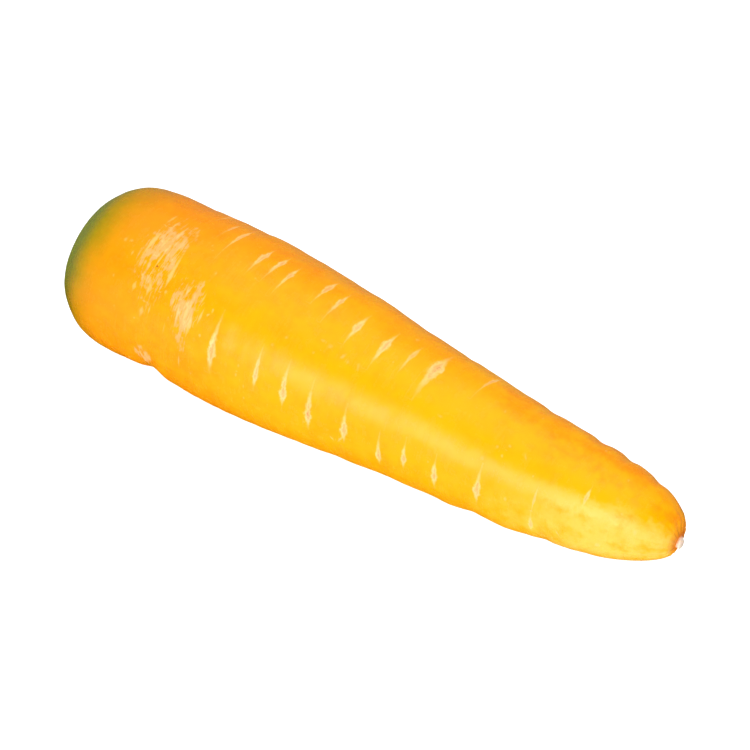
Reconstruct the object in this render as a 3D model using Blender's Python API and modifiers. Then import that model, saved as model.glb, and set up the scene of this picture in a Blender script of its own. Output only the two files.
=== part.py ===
"""A whole carrot root with its leaves trimmed off, lying on its side.

Run with: blender --background --python part.py

The root is turned as if it hung crown up and tip down. Its skin is then given the unevenness of a grown
root, and it is laid down along +X, crown at -X and tip at +X, on the narrow flat that its weight presses
into its underside. Lengths are in metres. The origin is the centre of the underside.
"""

import math
from typing import NamedTuple

import bmesh
import bpy
from mathutils import Matrix, Vector

MM = 0.001

# Driving dimensions
ROOT_LENGTH = 180.4 * MM
SIDES = 44
RING_SPACING = 2.6 * MM
FLAT_DEPTH = 0.3 * MM

# Outline from the middle of the crown, over the shoulder and down to the tip:
# (distance below the crown, radius), in millimetres.
LEAF_SCAR_OUTLINE = ((0.9, 0.0), (0.5, 2.2), (0.6, 3.9), (1.6, 4.8), (3.3, 5.4), (3.4, 6.2))
BODY_OUTLINE = (
    (3.0, 7.6),
    (4.8, 11.5),
    (8.0, 16.2),
    (15.0, 20.7),
    (23.0, 22.1),
    (36.0, 21.9),
    (56.0, 22.4),
    (76.0, 21.1),
    (100.0, 18.3),
    (125.0, 16.0),
    (145.0, 14.2),
    (160.0, 12.3),
    (170.0, 9.7),
    (176.0, 6.8),
    (178.6, 4.0),
)
TIP_SCAR_OUTLINE = ((179.3, 1.7), (179.9, 1.1), (180.3, 0.7), (180.4, 0.0))


class Crease(NamedTuple):
    """A shallow groove part of the way round the root, in millimetres and degrees."""

    down: float
    depth: float
    width: float
    middle: float
    spread: float


# Each crease is deepest at its middle, an angle from -Y towards +Z, and fades out at its spread to either side.
RING_CREASES = (
    Crease(down=37.0, depth=1.0, width=9.0, middle=-50.0, spread=60.0),
    Crease(down=66.0, depth=0.3, width=7.0, middle=20.0, spread=50.0),
    Crease(down=93.0, depth=0.3, width=7.0, middle=-60.0, spread=50.0),
    Crease(down=114.0, depth=0.3, width=6.0, middle=150.0, spread=60.0),
    Crease(down=138.5, depth=0.5, width=4.5, middle=130.0, spread=55.0),
    Crease(down=146.0, depth=0.3, width=4.5, middle=-40.0, spread=45.0),
    Crease(down=153.0, depth=0.5, width=4.0, middle=140.0, spread=60.0),
    Crease(down=160.5, depth=0.5, width=4.0, middle=125.0, spread=50.0),
    Crease(down=169.0, depth=0.4, width=4.0, middle=140.0, spread=60.0),
)

# The cut leaf bases make the leaf scar's rim bulge, in millimetres
LEAF_BASES = 7
LEAF_BASE_SWELL = 0.35

# The root is a little wider across one way than the other, in millimetres
OVALITY = 0.25
OVALITY_ANGLE = math.radians(70.0)

# Its crown sags, its tip lifts and the scar on its tip sits low, all along one line across the root
CROWN_SAG = 1.6
TIP_LIFT = 1.8
TIP_SCAR_DROP = 1.6
BEND_ANGLE = math.radians(134.0)

# The whole root bows, so that its two ends lie lower than its middle, in millimetres and a share of its length
BOW = 3.0
BOW_MIDDLE = 0.42
BOW_ANGLE = math.radians(-136.0)

ROOT_COLOUR = (0.95, 0.47, 0.02, 1.0)
ROOT_ROUGHNESS = 0.42


def clear_objects() -> None:
    """Removes every object that the scene starts with."""
    for old in list(bpy.data.objects):
        bpy.data.objects.remove(old, do_unlink=True)


def new_collection(name: str) -> bpy.types.Collection:
    """Makes a collection in the scene."""
    collection = bpy.data.collections.new(name)
    bpy.context.scene.collection.children.link(collection)
    return collection


def spline_value(values: list, t: float) -> float:
    """Reads a Catmull-Rom curve through four values, between the second and the third."""
    a, b, c, d = values
    return 0.5 * (2 * b + (c - a) * t + (2 * a - 5 * b + 4 * c - d) * t**2 + (3 * b - a - 3 * c + d) * t**3)


def smooth_outline(corners: tuple, spacing: float) -> list:
    """Fills a smooth curve through an outline's corners, with a point about every spacing."""
    ends = [corners[0], *corners, corners[-1]]
    points = []
    for first in range(len(corners) - 1):
        window = ends[first : first + 4]
        steps = max(1, round(math.dist(window[1], window[2]) / spacing))
        for step in range(steps):
            t = step / steps
            points.append(tuple(spline_value([corner[i] for corner in window], t) for i in range(2)))
    points.append(corners[-1])
    return points


def root_outline() -> list:
    """Joins the crown's leaf scar, the body and the tip's scar into one outline, in metres."""
    crown = list(LEAF_SCAR_OUTLINE)
    body = smooth_outline(BODY_OUTLINE, RING_SPACING / MM)
    tip = list(TIP_SCAR_OUTLINE)
    return [(down * MM, radius * MM) for down, radius in crown + body + tip]


def turned_root() -> bpy.types.Object:
    """Turns the outline round Z, crown up, into one closed body."""
    outline = root_outline()
    mesh = bpy.data.meshes.new("root_outline")
    verts = [(radius, 0.0, -down) for down, radius in outline]
    edges = [(i, i + 1) for i in range(len(verts) - 1)]
    mesh.from_pydata(verts, edges, [])
    turned = bpy.data.objects.new("root_outline", mesh)
    bpy.context.scene.collection.objects.link(turned)
    screw = turned.modifiers.new("turn", "SCREW")
    screw.axis = "Z"
    screw.steps = SIDES
    screw.render_steps = SIDES
    screw.use_merge_vertices = True
    screw.merge_threshold = 0.00001
    return turned


def applied(source: bpy.types.Object, name: str) -> bpy.types.Object:
    """Makes a plain mesh object from an object's modifiers, and removes the source."""
    bpy.context.view_layer.update()
    evaluated = source.evaluated_get(bpy.context.evaluated_depsgraph_get())
    mesh = bpy.data.meshes.new_from_object(evaluated)
    bpy.data.objects.remove(source, do_unlink=True)
    mesh.name = name
    return bpy.data.objects.new(name, mesh)


def angle_between(first: float, second: float) -> float:
    """Gives the smaller angle between two directions, in radians."""
    return abs((first - second + math.pi) % math.tau - math.pi)


def crease_depth(down: float, angle: float) -> float:
    """Adds up the ring creases at a place on the skin, in millimetres."""
    depth = 0.0
    for crease in RING_CREASES:
        along = (down - crease.down) / (crease.width / 2)
        around = angle_between(angle, math.radians(crease.middle)) / math.radians(crease.spread)
        if abs(along) < 1 and around < 1:
            shape = math.cos(along * math.pi / 2) * math.cos(around * math.pi / 2)
            depth += crease.depth * shape**2
    return depth


def lean(down: float) -> Vector:
    """Gives how far the root's middle stands off a straight line, in metres."""
    place = down / (ROOT_LENGTH / MM)
    bend = TIP_LIFT * place**12 - TIP_SCAR_DROP * place**80 - CROWN_SAG * (1 - place) ** 10
    bow = BOW * ((place - BOW_MIDDLE) / (1 - BOW_MIDDLE)) ** 2
    along_x = bend * math.sin(BEND_ANGLE) + bow * math.sin(BOW_ANGLE)
    along_y = -bend * math.cos(BEND_ANGLE) - bow * math.cos(BOW_ANGLE)
    return Vector((along_x, along_y, 0.0)) * MM


def swell(down: float, radius: float, angle: float) -> float:
    """Gives how far the skin stands off its turned shape, in millimetres."""
    shoulder_down, shoulder_radius = BODY_OUTLINE[0]
    if radius < shoulder_radius and down < 2 * shoulder_down:
        return LEAF_BASE_SWELL * radius / shoulder_radius * math.cos(LEAF_BASES * angle)
    share = radius / max(corner[1] for corner in BODY_OUTLINE)
    return OVALITY * share * math.cos(2 * (angle - OVALITY_ANGLE)) - crease_depth(down, angle)


def make_uneven(root: bpy.types.Object) -> None:
    """Moves the turned skin in and out, and bends it a little, as the root grew."""
    edit = bmesh.new()
    edit.from_mesh(root.data)
    bmesh.ops.remove_doubles(edit, verts=edit.verts, dist=0.00001)
    for vert in edit.verts:
        down = -vert.co.z / MM
        radius = math.hypot(vert.co.x, vert.co.y) / MM
        if radius > 0:
            angle = math.atan2(vert.co.x, -vert.co.y)
            grown = 1 + swell(down, radius, angle) / radius
            vert.co.x *= grown
            vert.co.y *= grown
        vert.co += lean(down)
    edit.to_mesh(root.data)
    edit.free()


def height_under_middle(points: list, slope: float, middle: float) -> float:
    """Gives how high a sloping line that touches the root's underside is below its balance point."""
    touch = min(point[1] - slope * point[0] for point in points)
    return touch + slope * middle


def resting_slope(mesh: bpy.types.Mesh, middle: float) -> float:
    """Finds the slope of the straight line that the level root's underside rests on.

    It is the line that stands highest under the balance point, so it touches the skin on both sides of it.
    """
    points = [(vert.co.x, vert.co.z) for vert in mesh.vertices]
    low, high = -0.5, 0.5
    while high - low > 1e-5:
        left = low + (high - low) / 3
        right = high - (high - low) / 3
        if height_under_middle(points, left, middle) < height_under_middle(points, right, middle):
            low = left
        else:
            high = right
    return math.atan((low + high) / 2)


def balance_point(mesh: bpy.types.Mesh) -> float:
    """Gives the place along X of the middle of the root's volume."""
    volume = 0.0
    moment = 0.0
    mesh.calc_loop_triangles()
    for triangle in mesh.loop_triangles:
        a, b, c = (mesh.vertices[i].co for i in triangle.vertices)
        part = a.dot(b.cross(c)) / 6
        volume += part
        moment += part * (a.x + b.x + c.x) / 4
    return moment / volume


def lay_down(root: bpy.types.Object) -> None:
    """Lays the root on its side as it would rest, centred over the origin, with its flat still to cut."""
    root.data.transform(Matrix.Rotation(-math.pi / 2, 4, "Y"))
    slope = resting_slope(root.data, balance_point(root.data))
    root.data.transform(Matrix.Rotation(slope, 4, "Y"))
    low = [min(vert.co[i] for vert in root.data.vertices) for i in range(3)]
    high = [max(vert.co[i] for vert in root.data.vertices) for i in range(3)]
    middle = [(low[i] + high[i]) / 2 for i in range(2)]
    root.data.transform(Matrix.Translation((-middle[0], -middle[1], -low[2] - FLAT_DEPTH)))


def flat_cutter(collection: bpy.types.Collection) -> bpy.types.Object:
    """Makes the block whose top is the surface that the root lies on."""
    size = 1.5 * ROOT_LENGTH
    bpy.ops.mesh.primitive_cube_add(size=size, location=(0, 0, -size / 2))
    cutter = bpy.context.object
    cutter.name = "surface_cutter"
    for holder in list(cutter.users_collection):
        holder.objects.unlink(cutter)
    collection.objects.link(cutter)
    cutter.hide_render = True
    cutter.display_type = "WIRE"
    return cutter


def skin_material() -> bpy.types.Material:
    """Makes the root's yellow-orange skin."""
    material = bpy.data.materials.new("carrot_skin")
    material.use_nodes = True
    shader = material.node_tree.nodes["Principled BSDF"]
    shader.inputs["Base Color"].default_value = ROOT_COLOUR
    shader.inputs["Roughness"].default_value = ROOT_ROUGHNESS
    shader.inputs["Metallic"].default_value = 0.0
    return material


def build_root(parts: bpy.types.Collection, cutters: bpy.types.Collection) -> bpy.types.Object:
    """Builds the carrot root and rests it on the surface."""
    root = applied(turned_root(), "carrot_root")
    make_uneven(root)
    lay_down(root)
    parts.objects.link(root)
    root.data.materials.append(skin_material())
    root.data.shade_smooth()
    cut = root.modifiers.new("resting_flat", "BOOLEAN")
    cut.operation = "DIFFERENCE"
    cut.solver = "EXACT"
    cut.object = flat_cutter(cutters)
    return root


def main() -> None:
    """Builds the carrot."""
    clear_objects()
    parts = new_collection("carrot")
    cutters = new_collection("cutters")
    build_root(parts, cutters)


main()
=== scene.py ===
"""A whole yellow-orange carrot root, leaves trimmed off, lying on a pale floor in a soft studio light.

The root is grown upright in millimetres, crown up and tip down, by a Geometry Nodes tree. It is then laid
on its side in metres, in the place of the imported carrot_root, with its crown at -X and its tip at +X.
Angles round the root are measured from -Y towards +Z, as they lie once it is on its side.
"""

import logging
import math
from collections.abc import Callable
from dataclasses import dataclass, field
from enum import Enum
from typing import Any, NamedTuple

import bpy
import numpy as np
from mathutils import Matrix, Vector


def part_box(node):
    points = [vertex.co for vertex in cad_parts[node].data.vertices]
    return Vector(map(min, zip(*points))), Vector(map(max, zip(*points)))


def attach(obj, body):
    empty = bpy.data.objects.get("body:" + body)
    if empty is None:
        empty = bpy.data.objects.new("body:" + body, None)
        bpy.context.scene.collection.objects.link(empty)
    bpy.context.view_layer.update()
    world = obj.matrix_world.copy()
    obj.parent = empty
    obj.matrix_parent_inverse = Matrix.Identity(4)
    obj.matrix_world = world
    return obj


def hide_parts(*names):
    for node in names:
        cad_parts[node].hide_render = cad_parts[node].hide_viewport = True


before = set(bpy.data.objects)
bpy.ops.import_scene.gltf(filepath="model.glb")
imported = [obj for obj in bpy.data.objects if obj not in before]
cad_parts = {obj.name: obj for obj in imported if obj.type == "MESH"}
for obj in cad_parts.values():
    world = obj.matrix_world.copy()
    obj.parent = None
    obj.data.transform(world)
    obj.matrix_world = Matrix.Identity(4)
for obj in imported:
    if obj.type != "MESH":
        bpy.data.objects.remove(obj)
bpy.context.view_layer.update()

LOG = logging.getLogger("carrot")
MM = 0.001
BODY = "root"
NODE = "carrot_root"
WHITE = (1.0, 1.0, 1.0, 1.0)


class Mark(NamedTuple):
    """One pale mark on the skin that runs round the root, in millimetres and degrees.

    Its slant is how much further down its high-angle end lies, its widest place goes from -1 at its
    low-angle end to 1 at the other, and its strength is how clearly it shows.
    """

    down: float
    angle: float
    length: float
    width: float
    slant: float = 0.0
    widest: float = 0.0
    strength: float = 1.0


class Fold(NamedTuple):
    """A shallow swelling of the root, or a hollow where its height is below 0, in millimetres and degrees.

    Its width runs down the root, and its spread is how far round it reaches to each side of its middle.
    """

    down: float
    height: float
    width: float
    middle: float
    spread: float


class Patch(NamedTuple):
    """A soft-edged area of skin and how strongly it is marked, which is below 0 where it is cleared.

    It lies so many millimetres down at an angle in degrees, and its two reaches are in millimetres.
    """

    down: float
    angle: float
    reach_down: float
    reach_round: float
    strength: float


class Zone(NamedTuple):
    """A stretch of the root, in millimetres below the crown."""

    start: float
    end: float


class Span(NamedTuple):
    """The least and the most that chance may give."""

    least: float
    most: float


class Grain(NamedTuple):
    """A noise: how many grains there are to a unit of length, and how much finer detail it has."""

    scale: float
    detail: float = 3.0
    roughness: float = 0.6


class Strands(NamedTuple):
    """How far a noise moves on for a radian round the root and for a millimetre along it."""

    around: float
    along: float


class Kind(Enum):
    """What a stored attribute holds."""

    NUMBER = "FLOAT"
    VECTOR = "FLOAT_VECTOR"


class Value:
    """A node's output that Python's operators can work on."""

    def __init__(self, tree: "Tree", socket: bpy.types.NodeSocket) -> None:
        """Wraps an output socket of a tree."""
        self.tree = tree
        self.socket = socket

    def math(self, operation: str, *others: Any) -> "Value":
        """Adds a Math node whose first input is this value."""
        return self.tree.math(operation, self, *others)

    def __add__(self, other: Any) -> "Value":
        """Adds."""
        return self.math("ADD", other)

    __radd__ = __add__

    def __sub__(self, other: Any) -> "Value":
        """Subtracts a value from this one."""
        return self.math("SUBTRACT", other)

    def __rsub__(self, other: Any) -> "Value":
        """Subtracts this value from another."""
        return self.tree.math("SUBTRACT", other, self)

    def __mul__(self, other: Any) -> "Value":
        """Multiplies."""
        return self.math("MULTIPLY", other)

    __rmul__ = __mul__

    def __truediv__(self, other: Any) -> "Value":
        """Divides this value by another."""
        return self.math("DIVIDE", other)

    def __pow__(self, other: Any) -> "Value":
        """Raises this value to a power."""
        return self.math("POWER", other)

    def __neg__(self) -> "Value":
        """Turns the value's sign round."""
        return self.math("MULTIPLY", -1.0)

    def abs(self) -> "Value":
        """Drops the value's sign."""
        return self.math("ABSOLUTE")

    def sin(self) -> "Value":
        """Gives the sine of an angle in radians."""
        return self.math("SINE")

    def cos(self) -> "Value":
        """Gives the cosine of an angle in radians."""
        return self.math("COSINE")

    def least(self, other: Any) -> "Value":
        """Gives the smaller of two values."""
        return self.math("MINIMUM", other)

    def most(self, other: Any) -> "Value":
        """Gives the larger of two values."""
        return self.math("MAXIMUM", other)

    def rise(self, low: float, high: float) -> "Value":
        """Rises smoothly from 0 where the value is low to 1 where it is high."""
        inputs = {"Value": self, "From Min": low, "From Max": high}
        return self.tree.node("ShaderNodeMapRange", {"interpolation_type": "SMOOTHSTEP"}, inputs)

    def fall(self, low: float, high: float) -> "Value":
        """Falls smoothly from 1 where the value is low to 0 where it is high."""
        return 1.0 - self.rise(low, high)


class Spot(NamedTuple):
    """Where on the upright root a point lies: its grown place, its radius and its angle in radians."""

    place: Value
    east: Value
    north: Value
    down: Value
    radius: Value
    angle: Value

    def ringed(self, share: float) -> Value:
        """Gives a place whose noise is drawn out round the root, the more so the smaller the share."""
        return self.place.tree.joined(self.east * share, self.north * share, self.down)

    def stranded(self, strands: Strands) -> Value:
        """Gives a place whose noise is drawn out into strands along the root."""
        cos, sin = self.angle.cos(), self.angle.sin()
        return self.place.tree.joined(cos * strands.around, sin * strands.around, self.down * strands.along)

    def facing(self, degrees: float, turn: Value | float = 0.0) -> Value:
        """Gives 1 on the side at so many degrees less a turn in radians, and -1 on the opposite side."""
        return (self.angle - math.radians(degrees) + turn).cos()

    def stretched(self, degrees: float) -> Value:
        """Gives 1 at an angle and opposite it, and -1 halfway between them."""
        return ((self.angle - math.radians(degrees)) * 2.0).cos()


class Tree:
    """A node tree that is built from Python expressions."""

    def __init__(self, tree: bpy.types.NodeTree) -> None:
        """Takes the node tree that nodes are added to."""
        self.tree = tree

    def connect(self, socket: bpy.types.NodeSocket, given: Any) -> None:
        """Links a value to an input socket, or sets the socket to a constant.

        Args:
            socket: The input socket.
            given: A value, a constant, or None to leave the socket as it is.
        """
        if isinstance(given, Value):
            self.tree.links.new(given.socket, socket)
        elif given is not None:
            socket.default_value = given

    def node(
        self, kind: str, settings: dict | None = None, inputs: dict | None = None, output: Any = 0
    ) -> Value:
        """Adds any node.

        Args:
            kind: The node's type.
            settings: The node's own properties, which are set before its sockets.
            inputs: Constants or values for its inputs, by name or number.
            output: The name or number of the output that is wanted.

        Returns:
            The wanted output.
        """
        added = self.tree.nodes.new(kind)
        for name, setting in (settings or {}).items():
            setattr(added, name, setting)
        for key, given in (inputs or {}).items():
            self.connect(added.inputs[key], given)
        return Value(self, added.outputs[output])

    def math(self, operation: str, *numbers: Any) -> Value:
        """Adds a Math node."""
        return self.node("ShaderNodeMath", {"operation": operation}, dict(enumerate(numbers)))

    def vector(self, operation: str, *vectors: Any, output: Any = 0) -> Value:
        """Adds a Vector Math node."""
        return self.node("ShaderNodeVectorMath", {"operation": operation}, dict(enumerate(vectors)), output)

    def scaled(self, vector: Value, factor: Any) -> Value:
        """Multiplies a vector by a number."""
        return self.node("ShaderNodeVectorMath", {"operation": "SCALE"}, {0: vector, "Scale": factor})

    def joined(self, x: Any, y: Any, z: Any) -> Value:
        """Makes a vector of three numbers."""
        return self.node("ShaderNodeCombineXYZ", None, {0: x, 1: y, 2: z})

    def split(self, vector: Value) -> list[Value]:
        """Takes a vector apart into its three numbers."""
        x = self.node("ShaderNodeSeparateXYZ", None, {0: vector})
        return [Value(self, output) for output in x.socket.node.outputs]

    def located(self, place: Value) -> Spot:
        """Works out where a grown place lies round the root.

        Args:
            place: The vector east, north and down.

        Returns:
            The place with its radius and angle.
        """
        east, north, down = self.split(place)
        radius = (east * east + north * north) ** 0.5
        return Spot(place, east, north, down, radius, self.math("ARCTAN2", east, -north))

    def noise(self, place: Value, grain: Grain) -> Value:
        """Reads smooth noise, about -0.5 to 0.5 with a mean of 0."""
        inputs = {"Vector": place, "Scale": grain.scale, "Detail": grain.detail, "Roughness": grain.roughness}
        return self.node("ShaderNodeTexNoise", {"noise_dimensions": "3D"}, inputs) - 0.5

    def blend(self, share: Value, first: Any, second: Any) -> Value:
        """Mixes two colours, from the first at 0 to the second at 1."""
        return self.node("ShaderNodeMix", {"data_type": "RGBA"}, {0: share, 6: first, 7: second}, 2)


class Surface(Tree):
    """The node tree of a new material, round its one Principled shader."""

    def __init__(self, name: str) -> None:
        """Starts a material.

        Args:
            name: The material's name.
        """
        self.material = bpy.data.materials.new(name)
        self.material.use_nodes = True
        super().__init__(self.material.node_tree)

    def attribute(self, name: str) -> Value:
        """Reads a named attribute of the mesh as a vector."""
        settings = {"attribute_name": name, "attribute_type": "GEOMETRY"}
        return self.node("ShaderNodeAttribute", settings, None, "Vector")

    def bump(self, height: Value, distance: float) -> Value:
        """Bends the surface by a height that is worth so many metres."""
        return self.node("ShaderNodeBump", None, {"Strength": 1.0, "Distance": distance, "Height": height})

    def dressed(self, looks: dict[str, Any]) -> bpy.types.Material:
        """Gives the shader its looks.

        Args:
            looks: Constants or values for the shader's inputs, by name.

        Returns:
            The finished material.
        """
        shader = self.tree.nodes["Principled BSDF"]
        for name, look in looks.items():
            self.connect(shader.inputs[name], look)
        return self.material


def colour(*shown: int) -> tuple[float, float, float, float]:
    """Turns a display colour into the linear colour that shaders take.

    Args:
        shown: Its red, green and blue, 0 to 255.

    Returns:
        The linear red, green and blue, 0 to 1, and an alpha of 1.
    """
    shares = [number / 255 for number in shown]
    linear = [share / 12.92 if share <= 0.04045 else ((share + 0.055) / 1.055) ** 2.4 for share in shares]
    return (*linear, 1.0)


class GeometryTree(Tree):
    """A Geometry Nodes tree with named inputs."""

    def __init__(self, name: str) -> None:
        """Starts an empty tree with one geometry output.

        Args:
            name: The tree's name.
        """
        super().__init__(bpy.data.node_groups.new(name, "GeometryNodeTree"))
        self.tree.is_modifier = True
        self.tree.interface.new_socket("Geometry", in_out="OUTPUT", socket_type="NodeSocketGeometry")
        self.entry = self.tree.nodes.new("NodeGroupInput")
        self.given: dict[str, Any] = {}

    def number(self, name: str, setting: float) -> Value:
        """Adds a named input that holds a number."""
        return self.add_input(name, "NodeSocketFloat", setting)

    def count(self, name: str, setting: int) -> Value:
        """Adds a named input that holds a whole number."""
        return self.add_input(name, "NodeSocketInt", setting)

    def part(self, name: str, setting: bpy.types.Object) -> Value:
        """Adds a named input that holds an object, and reads its geometry."""
        inputs = {"Object": self.add_input(name, "NodeSocketObject", setting)}
        return self.node("GeometryNodeObjectInfo", {"transform_space": "ORIGINAL"}, inputs, "Geometry")

    def add_input(self, name: str, kind: str, setting: Any) -> Value:
        """Adds a named input and notes the setting that its modifier gets.

        Args:
            name: The input's name.
            kind: Its socket's type.
            setting: What the modifier gives it.

        Returns:
            The input's value inside the tree.
        """
        socket = self.tree.interface.new_socket(name, in_out="INPUT", socket_type=kind)
        self.given[socket.identifier] = setting
        return Value(self, self.entry.outputs[name])

    def attribute(self, name: str, kind: Kind = Kind.VECTOR) -> Value:
        """Reads a named attribute."""
        return self.node("GeometryNodeInputNamedAttribute", {"data_type": kind.value}, {"Name": name})

    def store(
        self, geometry: Value, name: str, value: Value, kind: Kind = Kind.VECTOR, where: Any = None
    ) -> Value:
        """Stores a value on the points of a geometry.

        Args:
            geometry: The geometry.
            name: The attribute's name.
            value: What is stored.
            kind: What the attribute holds.
            where: The condition under which a point gets the value, or None for every point.

        Returns:
            The geometry with the attribute.
        """
        settings = {"data_type": kind.value, "domain": "POINT"}
        inputs = {"Geometry": geometry, "Name": name, "Value": value, "Selection": where}
        return self.node("GeometryNodeStoreNamedAttribute", settings, inputs)

    def chance(self, span: Span, seed: Value) -> Value:
        """Draws a number for each point from a span."""
        inputs = {2: span.least, 3: span.most, "Seed": seed}
        return self.node("FunctionNodeRandomValue", {"data_type": "FLOAT"}, inputs, 1)

    def repeated(self, geometry: Value, count: Value, step: Callable[[Value, Value], Value]) -> Value:
        """Changes a geometry again and again.

        Args:
            geometry: The geometry to start from.
            count: How many times it is changed.
            step: Makes the changed geometry from the last one and the number of times that came before.

        Returns:
            The geometry after the last change.
        """
        start = self.tree.nodes.new("GeometryNodeRepeatInput")
        end = self.tree.nodes.new("GeometryNodeRepeatOutput")
        start.pair_with_output(end)
        self.connect(start.inputs["Iterations"], count)
        self.connect(start.inputs["Geometry"], geometry)
        changed = step(Value(self, start.outputs["Geometry"]), Value(self, start.outputs["Iteration"]))
        self.connect(end.inputs["Geometry"], changed)
        return Value(self, end.outputs["Geometry"])

    def moved(self, geometry: Value, position: Value | None = None, offset: Value | None = None) -> Value:
        """Sets or offsets the position of each point."""
        inputs = {"Geometry": geometry, "Position": position, "Offset": offset}
        return self.node("GeometryNodeSetPosition", None, inputs)

    def finished(self, geometry: Value, material: bpy.types.Material) -> "GeometryTree":
        """Ends the tree with real geometry that wears a material.

        Args:
            geometry: The geometry.
            material: The material.

        Returns:
            This tree.
        """
        real = self.node("GeometryNodeRealizeInstances", None, {0: geometry})
        smooth = self.node("GeometryNodeSetShadeSmooth", None, {0: real})
        dressed = self.node("GeometryNodeSetMaterial", None, {"Geometry": smooth, "Material": material})
        leaving = self.tree.nodes.new("NodeGroupOutput")
        self.connect(leaving.inputs[0], dressed)
        return self

    def grow(self, name: str) -> bpy.types.Mesh:
        """Runs the tree once.

        Args:
            name: The name of the mesh that it grows.

        Returns:
            Its result as a plain mesh.
        """
        seed = bpy.data.objects.new(name, bpy.data.meshes.new(name))
        bpy.context.scene.collection.objects.link(seed)
        modifier = seed.modifiers.new(name, "NODES")
        modifier.node_group = self.tree
        for identifier, setting in self.given.items():
            modifier[identifier] = setting
        bpy.context.view_layer.update()
        evaluated = seed.evaluated_get(bpy.context.evaluated_depsgraph_get())
        mesh = bpy.data.meshes.new_from_object(evaluated)
        bpy.data.objects.remove(seed, do_unlink=True)
        return mesh


class SkinTree(Surface):
    """The tree of the skin's material, with where on the root it is and the noises that its looks share."""

    def __init__(self, skin: "CarrotSkin") -> None:
        """Starts the material.

        Args:
            skin: The finish that the material shows.
        """
        super().__init__(skin.name)
        self.spot = self.located(self.attribute("grown_place"))
        self.rings = self.noise(self.spot.ringed(skin.ring_share), skin.ring_grain)
        self.fine_rings = self.noise(self.spot.ringed(skin.ring_share), skin.fine_ring_grain)
        self.fibres = self.noise(self.spot.ringed(skin.fibre_share), skin.fibre_grain)
        self.ragged = self.noise(self.spot.place, skin.ragged_grain)
        self.speckle = self.noise(self.spot.place, skin.speckle_grain)


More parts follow.
